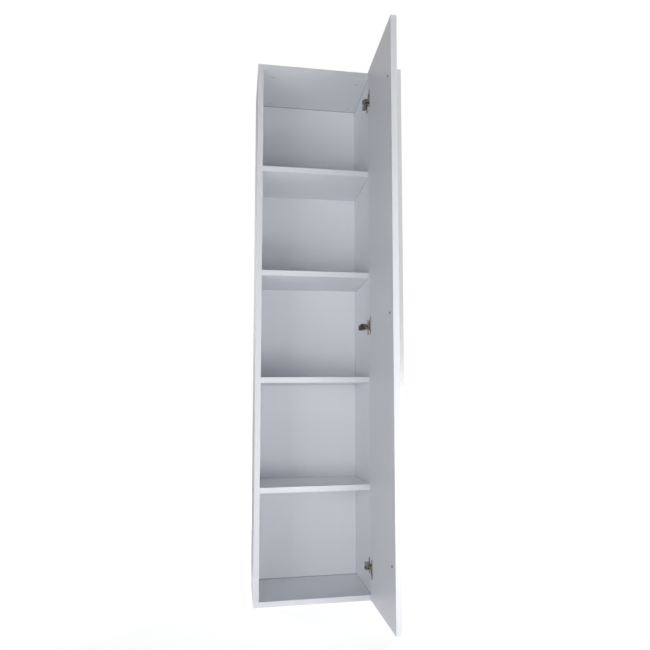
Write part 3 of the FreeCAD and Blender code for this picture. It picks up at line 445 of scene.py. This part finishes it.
class Bench:
    """Modelling steps that every piece shares."""

    @staticmethod
    def take(*pieces: bpy.types.Object) -> None:
        """Selects only these pieces; the first becomes the active one."""
        if bpy.context.object and bpy.context.object.mode != "OBJECT":
            bpy.ops.object.mode_set(mode="OBJECT")
        bpy.ops.object.select_all(action="DESELECT")
        for piece in pieces:
            piece.select_set(True)
        bpy.context.view_layer.objects.active = pieces[0]

    @staticmethod
    def node_copy(node: str, name: str) -> bpy.types.Object:
        """A copy of a CAD node, merged and with its flat faces whole.

        Args:
            node: the CAD node.
            name: the new piece's name.

        Returns:
            The copy.
        """
        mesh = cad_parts[node].data.copy()
        mesh.name = name
        piece = bpy.data.objects.new(name, mesh)
        bpy.context.scene.collection.objects.link(piece)
        Bench.take(piece)
        bpy.ops.mesh.customdata_custom_splitnormals_clear()
        bpy.ops.object.mode_set(mode="EDIT")
        bpy.ops.mesh.select_all(action="SELECT")
        bpy.ops.mesh.remove_doubles(threshold=1e-6)
        bpy.ops.mesh.dissolve_limited(angle_limit=math.radians(0.4))
        bpy.ops.object.mode_set(mode="OBJECT")
        return piece

    @staticmethod
    def modify(piece: bpy.types.Object, kind: str, **settings: object) -> None:
        """Adds a modifier and applies it.

        Args:
            piece: what it works on.
            kind: the modifier's type.
            settings: its settings.
        """
        Bench.take(piece)
        modifier = piece.modifiers.new(kind.title(), kind)
        for key, setting in settings.items():
            setattr(modifier, key, setting)
        bpy.ops.object.modifier_apply(modifier=modifier.name)

    @staticmethod
    def soften(piece: bpy.types.Object, radius: float, segments: int = 2, over: float = 35.0) -> None:
        """Rounds the sharp edges and smooths the shading.

        Args:
            piece: what is rounded.
            radius: the rounding in metres.
            segments: facets across it.
            over: edges sharper than this many degrees are rounded.
        """
        Bench.modify(
            piece,
            "BEVEL",
            width=radius,
            segments=segments,
            limit_method="ANGLE",
            angle_limit=math.radians(over),
            use_clamp_overlap=True,
        )
        Bench.smooth(piece)
        Bench.modify(piece, "WEIGHTED_NORMAL", keep_sharp=True, weight=80)

    @staticmethod
    def trim(piece: bpy.types.Object, node: str) -> None:
        """Brings what a rounding pushed out by microns back into its CAD node's box."""
        low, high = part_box(node)
        for vertex in piece.data.vertices:
            vertex.co = [min(max(at, least), most) for at, least, most in zip(vertex.co, low, high)]

    @staticmethod
    def smooth(piece: bpy.types.Object, angle: float = 32.0) -> None:
        """Smooth shading, split at edges sharper than the angle."""
        Bench.take(piece)
        bpy.ops.object.shade_smooth_by_angle(angle=math.radians(angle))

    @staticmethod
    def shells(node: str) -> list[tuple[Vector, Vector]]:
        """The boxes of a CAD node's separate solids, lowest first.

        Args:
            node: the CAD node.

        Returns:
            The lowest and highest corner of each.
        """
        copy = Bench.node_copy(node, "measured")
        Bench.take(copy)
        bpy.ops.object.mode_set(mode="EDIT")
        bpy.ops.mesh.select_all(action="SELECT")
        bpy.ops.mesh.separate(type="LOOSE")
        bpy.ops.object.mode_set(mode="OBJECT")
        found = []
        for part in list(bpy.context.selected_objects):
            corners = np.array([v.co for v in part.data.vertices])
            found.append((Vector(corners.min(0)), Vector(corners.max(0))))
            bpy.data.objects.remove(part)
        return sorted(found, key=lambda box: (round(box[0].z, 4), round(box[0].y, 4)))

    @staticmethod
    def joined(name: str, pieces: list[bpy.types.Object]) -> bpy.types.Object:
        """Several pieces as one object.

        Args:
            name: its name.
            pieces: what is joined.

        Returns:
            The joined piece.
        """
        Bench.take(*pieces)
        if len(pieces) > 1:
            bpy.ops.object.join()
        piece = bpy.context.view_layer.objects.active
        piece.name = name
        piece.data.name = name
        return piece

    @staticmethod
    def dress(piece: bpy.types.Object, *finishes: Finish) -> None:
        """Gives a piece its materials, in slot order."""
        piece.data.materials.clear()
        for finish in finishes:
            piece.data.materials.append(finish.material())

    @staticmethod
    def hand_over(piece: bpy.types.Object, body: str, slot: str, *nodes: str) -> None:
        """Lets a piece ride on a body and stand for its CAD nodes.

        Args:
            piece: the finished piece.
            body: the CAD body that carries it.
            slot: the material slot of the record; not used.
            nodes: the CAD nodes it stands for.
        """
        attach(piece, body)
        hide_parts(*nodes)
        LOG.info("%s: %d faces on %s", piece.name, len(piece.data.polygons), body)


class Axis(Enum):
    """The direction in which a board is thin."""

    X = 0
    Z = 2


# ---------------------------------------------------------------- boards


@dataclass
class Board:
    """One faced board with a rounded edge band."""

    node: str
    body: str
    thin: Axis
    face: Finish = BOARD_FACE
    band_radius: float = 0.8 * MM
    groove: tuple[float, float] = (149 * MM, 154 * MM)

    def build(self) -> bpy.types.Object:
        """The board with its band rounded.

        Returns:
            The finished board.
        """
        board = Bench.node_copy(self.node, f"{self.node}_board")
        Bench.soften(board, self.band_radius, 3)
        Bench.trim(board, self.node)
        Bench.dress(board, self.face, BOARD_EDGE, BOARD_CORE)
        for face in board.data.polygons:
            face.material_index = self.finish_at(face)
        Bench.hand_over(board, self.body, "white_board", self.node)
        return board

    def finish_at(self, face: bpy.types.MeshPolygon) -> int:
        """The slot of a face: 0 for the broad faces, 1 for the band, 2 for the bare core, which on level
        boards also takes the rounding beside the ends as painted shade in the joints.
        """
        # Sawn ends are raw core; the rounding beside them gets the dark core too, which paints shade into the
        # joints with the sides.
        sawn_end_and_joint_shade = self.thin is Axis.Z and abs(face.normal.x) > 0.3
        grooved = self.groove[0] < face.center.y < self.groove[1]
        if sawn_end_and_joint_shade or grooved:
            return 2
        return 0 if abs(face.normal[self.thin.value]) > 0.9 else 1


@dataclass
class Carcass:
    """The fixed case: boards, back and the fittings that hold them."""

    body: str = "carcass"
    sides: tuple[str, ...] = ("left_side_panel", "right_side_panel")
    level: tuple[str, ...] = ("bottom_panel", "top_panel", "shelf_1", "shelf_2", "shelf_3", "shelf_4")
    cap_radius: float = 0.25 * MM

    def build(self) -> None:
        """Builds the boards and dresses the back and fittings."""
        for node in self.sides:
            Board(node, self.body, Axis.X).build()
        for node in self.level:
            Board(node, self.body, Axis.Z, LEVEL_FACE).build()
        self.caps()
        for node, finish in (
            ("back_panel", BACK_FACE),
            ("shelf_pins", SCREW_METAL),
            ("cam_housings", CAM_METAL),
            ("cam_bolts", SCREW_METAL),
            ("wood_dowels", DOWEL_WOOD),
        ):
            Bench.dress(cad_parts[node], finish)
            LOG.info("%s dressed as %s", node, finish.name)

    def caps(self) -> None:
        """The thin covers over the upper cams, with a softened rim."""
        caps = Bench.node_copy("cam_caps", "cam_cap_covers")
        Bench.soften(caps, self.cap_radius)
        Bench.dress(caps, CAP_PLASTIC)
        Bench.hand_over(caps, self.body, "white_plastic", "cam_caps")


# ---------------------------------------------------------------- screws


@dataclass
class Screws:
    """One kind of cross-headed screw, all of them facing the left side."""

    node: str
    body: str
    head_height: float
    shank: float
    recess: float = 0.62
    turn: float = 20.0
    turn_step: float = 1.7
    crown: float = 0.45
    slot_width: float = 0.15
    slot_depth: float = 1.3
    finish: Finish = SCREW_METAL

    def pattern(self, head: float, length: float) -> bpy.types.Object:
        """One screw at the origin: the head's underside at x = 0 and the head towards -x.

        Args:
            head: the head's diameter.
            length: the shank's length.

        Returns:
            The screw.
        """
        deep = self.head_height
        half_turn = (0.0, math.pi / 2, 0.0)
        Bench.take(next(iter(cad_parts.values())))
        bpy.ops.object.select_all(action="DESELECT")
        bpy.ops.mesh.primitive_cylinder_add(
            vertices=40, radius=head / 2, depth=deep, location=(-deep / 2, 0, 0), rotation=half_turn
        )
        crown = bpy.context.object
        bpy.ops.object.transform_apply(location=True, rotation=True, scale=True)
        bpy.ops.object.mode_set(mode="EDIT")
        bpy.ops.mesh.select_all(action="DESELECT")
        bpy.ops.object.mode_set(mode="OBJECT")
        for face in crown.data.polygons:
            face.select = face.normal.x < -0.9
        bpy.ops.object.mode_set(mode="EDIT")
        bpy.ops.mesh.select_mode(type="FACE")
        bpy.ops.mesh.bevel(offset=deep * self.crown, segments=4, affect="EDGES")
        bpy.ops.object.mode_set(mode="OBJECT")
        cutters = []
        for quarter in range(2):
            bpy.ops.mesh.primitive_cube_add(size=1.0, location=(-deep, 0, 0))
            blade = bpy.context.object
            long, thin = head * self.recess, head * self.slot_width
            blade.scale = (deep * self.slot_depth, long if quarter else thin, thin if quarter else long)
            bpy.ops.object.transform_apply(location=True, rotation=True, scale=True)
            cutters.append(blade)
        cross = Bench.joined("cross_recess", cutters)
        Bench.modify(crown, "BOOLEAN", operation="DIFFERENCE", object=cross, solver="EXACT", use_self=True)
        bpy.data.objects.remove(cross)
        bpy.ops.object.select_all(action="DESELECT")
        bpy.ops.mesh.primitive_cylinder_add(
            vertices=24,
            radius=self.shank / 2,
            depth=length,
            location=(length / 2, 0, 0),
            rotation=half_turn,
        )
        stem = bpy.context.object
        bpy.ops.object.transform_apply(location=True, rotation=True, scale=True)
        return Bench.joined(f"{self.node}_pattern", [crown, stem])

    def build(self) -> bpy.types.Object:
        """Sets a copy of the pattern at each screw's place.

        Returns:
            All screws of this kind as one piece.
        """
        places = Bench.shells(self.node)
        low, high = places[0]
        pattern = self.pattern(high.y - low.y, high.x - low.x - self.head_height)
        copies = []
        for index, (low, high) in enumerate(places):
            screw = pattern.copy()
            screw.data = pattern.data.copy()
            bpy.context.scene.collection.objects.link(screw)
            seat = Vector((low.x + self.head_height, (low.y + high.y) / 2, (low.z + high.z) / 2))
            turned = Matrix.Rotation(math.radians(self.turn * (1 + self.turn_step * index)), 4, "X")
            screw.data.transform(Matrix.Translation(seat) @ turned)
            copies.append(screw)
        bpy.data.objects.remove(pattern)
        piece = Bench.joined(f"{self.node}_crossed", copies)
        Bench.smooth(piece, 40.0)
        Bench.dress(piece, self.finish)
        Bench.hand_over(piece, self.body, "nickel_steel", self.node)
        return piece


# ---------------------------------------------------------------- door


@dataclass
class Door:
    """The slab door with its channel handle."""

    body: str = "door"
    handle_radius: float = 0.5 * MM

    def build(self) -> None:
        """Builds the slab, the handle and the handle's screws."""
        Board("door_panel", self.body, Axis.X, SHADED_DOOR_FACE).build()
        handle = Bench.node_copy("handle", "channel_handle")
        Bench.soften(handle, self.handle_radius, 3)
        Bench.trim(handle, "handle")
        Bench.dress(handle, HANDLE_METAL)
        Bench.hand_over(handle, self.body, "aluminium_profile", "handle")
        Screws("handle_screws", self.body, 2.2 * MM, 4 * MM, finish=SHADED_HANDLE_SCREW_METAL).build()


# ---------------------------------------------------------------- hinges


class Spot(Enum):
    """Where a hinge sits on the door."""

    BOTTOM = "bottom"
    MIDDLE = "middle"
    TOP = "top"


@dataclass
class Hinge:
    """One concealed hinge: plate, arm, two links and the cup."""

    spot: Spot

    def part(self, node: str, body: str, name: str, radius: float, segments: int = 2) -> None:
        """Softens and plates one stamped part.

        Args:
            node: the CAD node's name without the spot.
            body: the body that carries it.
            name: the new piece's name without the spot.
            radius: the rounding of its edges.
            segments: facets across the rounding.
        """
        whole = f"{node}_{self.spot.value}"
        piece = Bench.node_copy(whole, f"{name}_{self.spot.value}")
        Bench.soften(piece, radius, segments)
        Bench.dress(piece, HINGE_METAL)
        Bench.hand_over(piece, body, "nickel_steel", whole)

    def build(self) -> None:
        """Builds the five parts of the hinge."""
        self.part("mounting_plate", "carcass", "cross_plate", 0.6 * MM)
        self.part("hinge_arm", "carcass", "channel_arm", 0.4 * MM)
        self.part("outer_link", "outer_links", "cranked_link", 0.2 * MM)
        self.part("inner_link", "inner_links", "bent_link", 0.3 * MM)
        self.part("hinge_cup", "door", "pressed_cup", 0.35 * MM)


@dataclass
class Hinges:
    """The three hinges with their screws, pins and the damper."""

    damper_radius: float = 0.6 * MM

    def build(self) -> None:
        """Builds all three hinges and what is fixed to them."""
        for spot in Spot:
            Hinge(spot).build()
        Screws("plate_screws", "carcass", 1.6 * MM, 5 * MM).build()
        Screws("arm_screws", "carcass", 2.0 * MM, 5 * MM, turn=35.0).build()
        Screws("cup_screws", "door", 0.8 * MM, 3.5 * MM, turn=12.0).build()
        for node in ("arm_pins", "outer_link_cup_pins", "inner_link_cup_pins"):
            Bench.dress(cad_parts[node], SCREW_METAL)
            LOG.info("%s dressed as %s", node, SCREW_METAL.name)
        self.damper()

    def damper(self) -> None:
        """The black damper block on its sprung clip."""
        clip = Bench.node_copy("damper_clip", "sprung_clip")
        Bench.soften(clip, 0.25 * MM)
        Bench.dress(clip, HINGE_METAL)
        Bench.hand_over(clip, "carcass", "nickel_steel", "damper_clip")
        block = Bench.node_copy("soft_close_damper", "damper_block")
        Bench.soften(block, self.damper_radius)
        Bench.dress(block, DAMPER_PLASTIC)
        Bench.hand_over(block, "carcass", "black_plastic", "soft_close_damper")


# ---------------------------------------------------------------- studio


@dataclass(frozen=True)
class Lamp:
    """A soft rectangular lamp."""

    name: str
    at: tuple[float, float, float]
    towards: tuple[float, float, float]
    size: tuple[float, float]
    power: float

    def build(self) -> None:
        """Hangs the lamp."""
        light = bpy.data.lights.new(self.name, "AREA")
        light.shape = "RECTANGLE"
        light.size, light.size_y = self.size
        light.energy = self.power
        lamp = bpy.data.objects.new(self.name, light)
        lamp.location = self.at
        lamp.rotation_euler = (Vector(self.towards) - Vector(self.at)).to_track_quat("-Z", "Y").to_euler()
        lamp.visible_camera = False
        bpy.context.scene.collection.objects.link(lamp)
        LOG.info("lamp %s, %.0f W", self.name, self.power)


@dataclass
class Studio:
    """A white floor, a plain white surround, soft lamps and a taupe card that only gloss shows."""

    ambient: float = 0.035
    floor_half: float = 9.0
    floor_light: float = 0.286
    floor_glow: float = 0.44
    far_glow: float = 0.5
    fade: tuple[float, float] = (1.0, 3.0)
    ambient_tone: tuple[float, float, float] = (0.93, 0.955, 1.0)
    card_at: tuple[float, float, float] = (-1.1, 0.4, 1.3)
    card_size: tuple[float, float] = (1.78, 2.6)
    card_tone: tuple[float, float, float] = (0.27, 0.245, 0.24)
    lamps: tuple[Lamp, ...] = (
        Lamp("left_softbox", (-1.7, -2.6, 0.6), (0.0, -0.15, 0.8), (1.3, 1.0), 21.5),
        Lamp("left_strip", (-0.62, -2.9, 0.36), (0.0, -0.15, 0.8), (1.3, 0.7), 4.9),
        Lamp("right_strip", (0.9, -2.9, 0.25), (0.0, -0.15, 0.8), (1.2, 0.4), 10.0),
        Lamp("far_right_strip", (2.4, -2.4, 0.3), (0.0, -0.15, 0.8), (1.3, 0.6), 9.4),
        Lamp("floor_fill", (0.4, -1.8, 0.05), (0.0, -0.2, 1.2), (0.8, 0.5), 8.4),
        Lamp("rear_left_fill", (-1.7, 2.3, 1.5), (0.0, 0.0, 0.9), (1.2, 1.2), 22.0),
        Lamp("rear_right_fill", (1.8, 2.2, 1.5), (0.0, 0.0, 0.9), (1.2, 1.2), 22.0),
        Lamp("overhead_softbox", (0.8, 0.7, 2.9), (0.0, 0.0, 1.8), (0.9, 0.7), 24.0),
    )

    def floor(self) -> None:
        """A pale floor that keeps the cupboard's shadow."""
        bpy.ops.object.select_all(action="DESELECT")
        bpy.ops.mesh.primitive_plane_add(size=2 * self.floor_half, location=(0, 0, 0))
        floor = bpy.context.object
        floor.name = "studio_floor"
        material = bpy.data.materials.new("pale_floor")
        material.use_nodes = True
        graph = Graph(material.node_tree)
        grain = graph.noise(graph.place(), 6.0, 2.0)
        colour = graph.blend(grain, (0.88, 0.88, 0.885, 1.0), (0.9, 0.9, 0.905, 1.0))
        matt = graph.add("ShaderNodeBsdfDiffuse", sockets={"Color": colour})
        seen = self.seen(graph)
        reach = graph.add("ShaderNodeVectorMath", {"operation": "LENGTH"}, {0: graph.place()}, output="Value")
        away = graph.add(
            "ShaderNodeMapRange",
            {"interpolation_type": "SMOOTHSTEP"},
            {"Value": reach, "From Min": self.fade[0], "From Max": self.fade[1]},
        )
        lift = self.floor_glow + away * self.far_glow
        glow = graph.add(
            "ShaderNodeEmission", sockets={"Color": (1, 1, 1, 1), "Strength": self.floor_light + seen * lift}
        )
        both = graph.add("ShaderNodeAddShader", sockets={0: matt, 1: glow})
        graph.add("ShaderNodeOutputMaterial", sockets={"Surface": both})
        floor.data.materials.append(material)

    def card(self) -> None:
        """A taupe card behind the left side, which only the side's gloss shows."""
        bpy.ops.object.select_all(action="DESELECT")
        bpy.ops.mesh.primitive_plane_add(size=1.0, location=self.card_at, rotation=(math.pi / 2, 0, 0))
        card = bpy.context.object
        card.name = "gloss_card"
        card.scale = (*self.card_size, 1.0)
        material = bpy.data.materials.new("taupe_card")
        material.use_nodes = True
        graph = Graph(material.node_tree)
        clouds = graph.noise(graph.place(), 1.3, 2.0)
        tone = graph.blend(clouds, shade(self.card_tone, 0.8), shade(self.card_tone, 1.2))
        lit = graph.add("ShaderNodeEmission", sockets={"Color": tone, "Strength": 1.0})
        graph.add("ShaderNodeOutputMaterial", sockets={"Surface": lit})
        card.data.materials.append(material)
        card.visible_camera = False
        card.visible_diffuse = False
        card.visible_shadow = False
        card.visible_transmission = False

    @staticmethod
    def seen(graph: Graph) -> Wire:
        """One where the background is looked at, directly, in gloss or through glass."""
        camera = graph.add("ShaderNodeLightPath", output="Is Camera Ray")
        gloss = graph.add("ShaderNodeLightPath", output="Is Glossy Ray")
        return camera + gloss + graph.add("ShaderNodeLightPath", output="Is Transmission Ray")

    def surround(self) -> None:
        """White where it is looked at, dimmer where it only lights."""
        world = bpy.data.worlds.new("studio_surround")
        world.use_nodes = True
        bpy.context.scene.world = world
        graph = Graph(world.node_tree)
        ambient = graph.add(
            "ShaderNodeBackground", sockets={"Color": (*self.ambient_tone, 1.0), "Strength": self.ambient}
        )
        white = graph.add("ShaderNodeBackground", sockets={"Color": (1, 1, 1, 1), "Strength": 1.0})
        shown = graph.add("ShaderNodeMixShader", sockets={0: self.seen(graph), 1: ambient, 2: white})
        graph.add("ShaderNodeOutputWorld", sockets={"Surface": shown})

    def build(self) -> None:
        """Lays the floor, stands the card, sets the surround and hangs the lamps."""
        self.floor()
        self.card()
        self.surround()
        for lamp in self.lamps:
            lamp.build()
        bpy.context.scene.view_settings.view_transform = "Standard"


@dataclass(frozen=True)
class ViewCamera:
    """The camera, by its place, the way it looks and where its axis meets the picture."""

    at: tuple[float, float, float] = (-0.25778, -2.63193, 0.63566)
    yaw: float = -12.5124
    pitch: float = 5.9817
    roll: float = -0.5923
    lens: float = 41.007
    sensor: float = 36.0
    shift: tuple[float, float] = (-0.11706, 0.00376)

    def build(self) -> None:
        """Stands the camera and makes it the scene's."""
        yaw, pitch, roll = (math.radians(angle) for angle in (self.yaw, self.pitch, self.roll))
        forward = Vector(
            (-math.sin(yaw) * math.cos(pitch), math.cos(yaw) * math.cos(pitch), math.sin(pitch))
        )
        level = Vector((math.cos(yaw), math.sin(yaw), 0.0))
        upright = level.cross(forward)
        right = level * math.cos(roll) + upright * math.sin(roll)
        up = upright * math.cos(roll) - level * math.sin(roll)
        data = bpy.data.cameras.new("view_camera")
        data.sensor_fit = "HORIZONTAL"
        data.sensor_width = self.sensor
        data.lens = self.lens
        data.shift_x, data.shift_y = self.shift
        camera = bpy.data.objects.new("view_camera", data)
        axes = Matrix((right, up, -forward)).transposed().to_4x4()
        camera.matrix_world = Matrix.Translation(self.at) @ axes
        bpy.context.scene.collection.objects.link(camera)
        bpy.context.scene.camera = camera


def corners(box: tuple[Vector, Vector]) -> list[list[float]]:
    """A box as plain lists."""
    return [[float(value) for value in corner] for corner in box]


def main() -> None:
    """Builds the cupboard piece by piece."""
    logging.basicConfig(level=logging.INFO, format="%(name)s: %(message)s")
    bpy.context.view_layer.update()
    ViewCamera().build()
    Carcass().build()
    Door().build()
    Hinges().build()
    Studio().build()
    bpy.context.view_layer.update()


if __name__ == "__main__":
    main()
